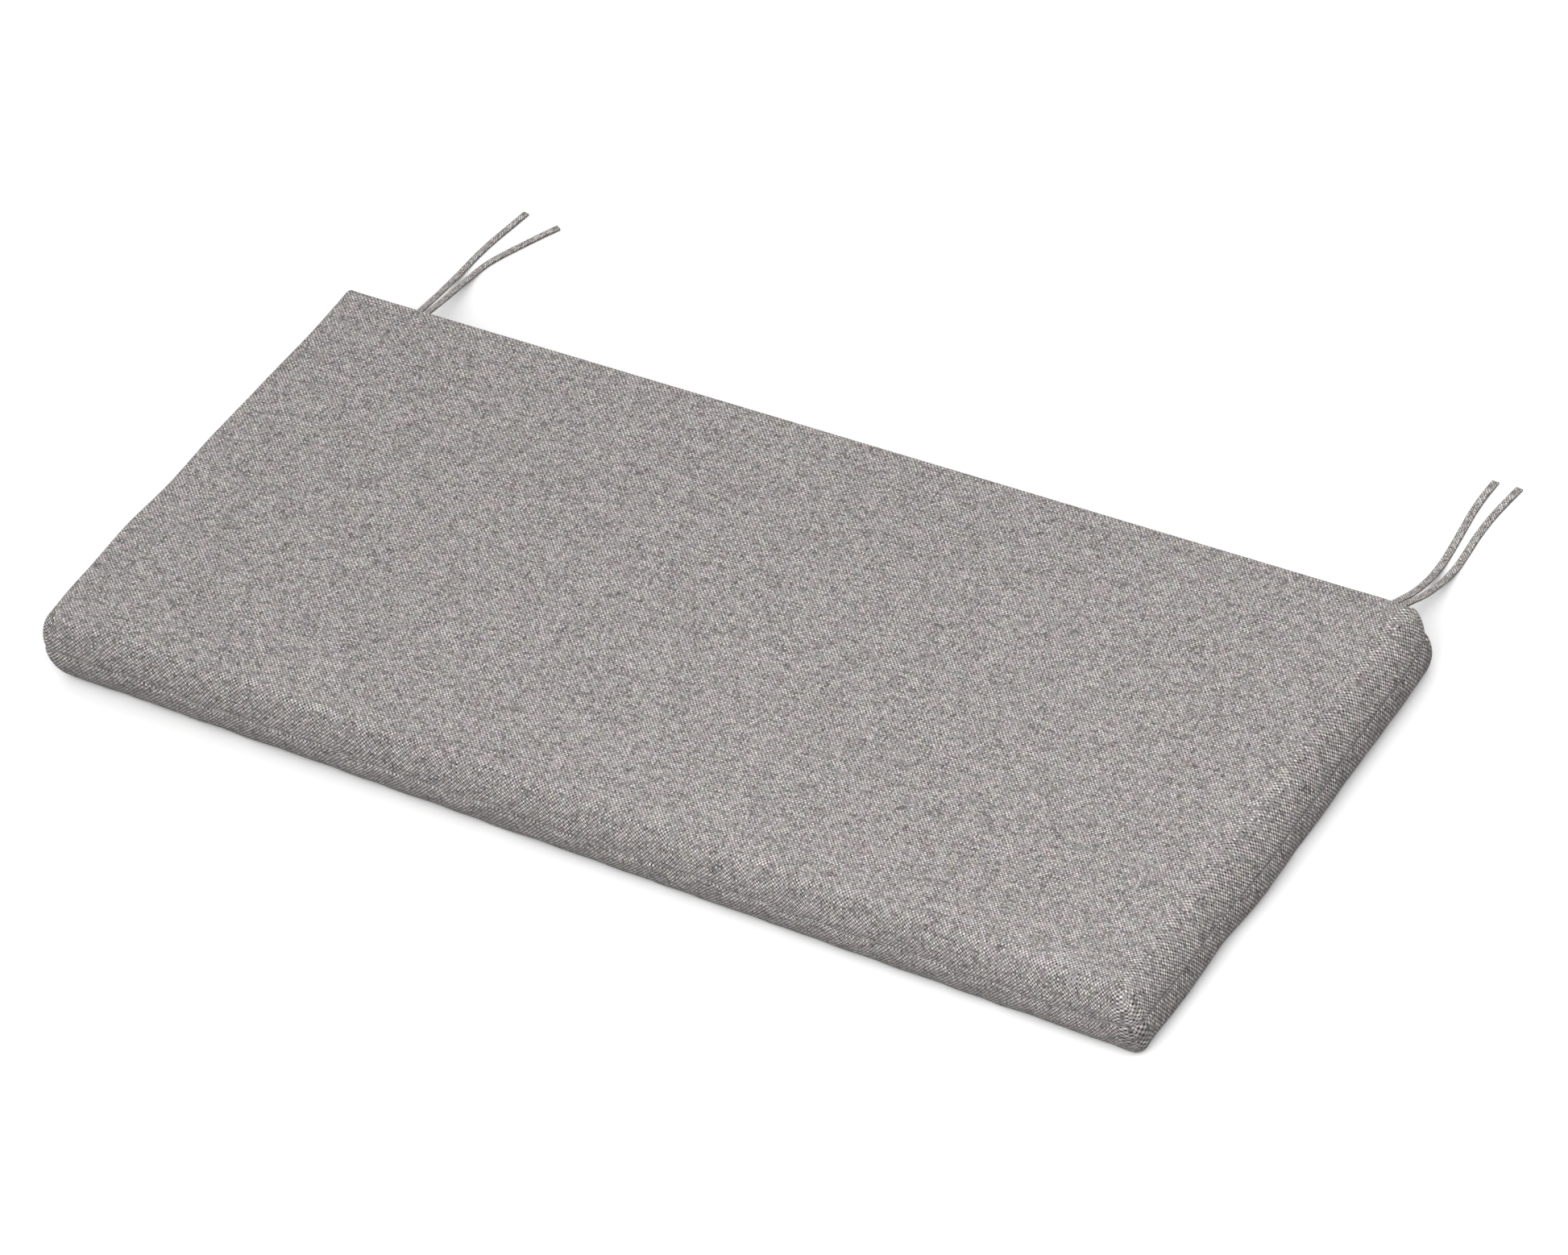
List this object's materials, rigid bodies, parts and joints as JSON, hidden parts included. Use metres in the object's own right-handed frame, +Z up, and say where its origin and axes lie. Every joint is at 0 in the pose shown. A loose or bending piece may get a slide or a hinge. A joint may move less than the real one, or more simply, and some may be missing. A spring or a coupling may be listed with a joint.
{
  "type": "bench cushion",
  "caption": "Long rectangular bench cushion: one filled fabric pad with rolled edges, a seam at mid height all round, and flat tie strips sewn into its back seam.",
  "frame": {"origin": "middle of the flat underside, on the surface that the cushion rests on", "axes": "+X along the long side, +Y towards the back edge that holds the ties, +Z up out of the top face"},
  "size_m": [1.0821, 0.6403, 0.0679],
  "materials": {
    "cushion_cloth": "matt plain weave with slubbed yarns, warm grey",
    "tie_cloth": "matt plain weave, warm grey"
  },
  "bodies": {
    "root": {"cushion": "cushion_cloth", "tie_left_outer": "tie_cloth", "tie_left_inner": "tie_cloth", "tie_right_inner": "tie_cloth", "tie_right_outer": "tie_cloth"}
  },
  "joints": []
}
